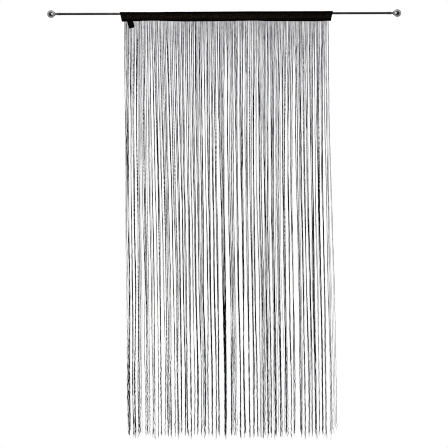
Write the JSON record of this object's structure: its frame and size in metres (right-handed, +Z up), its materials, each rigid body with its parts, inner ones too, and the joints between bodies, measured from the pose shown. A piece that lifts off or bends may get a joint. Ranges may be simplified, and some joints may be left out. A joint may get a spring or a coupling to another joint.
{
  "type": "string curtain on a curtain rod",
  "caption": "String curtain: a rod-pocket heading with a long fringe of loose black strings, hanging on a slim metal rod with ball finials.",
  "frame": {"origin": "on the rod's axis, half-way between the centres of the ball finials", "axes": "+Z up, against the way the strings hang; +X along the rod, to the right as seen from the front; the front faces -Y"},
  "size_m": [1.66, 0.0358, 2.0108],
  "materials": {
    "rod": "satin",
    "finial": "polished",
    "heading": "knitted tape",
    "strings": "chained yarn",
    "tab": "woven tape"
  },
  "bodies": {
    "root": {"rod": "rod", "finial_left": "finial", "finial_right": "finial", "heading": "heading", "strings": "strings", "tab": "tab"}
  },
  "joints": []
}
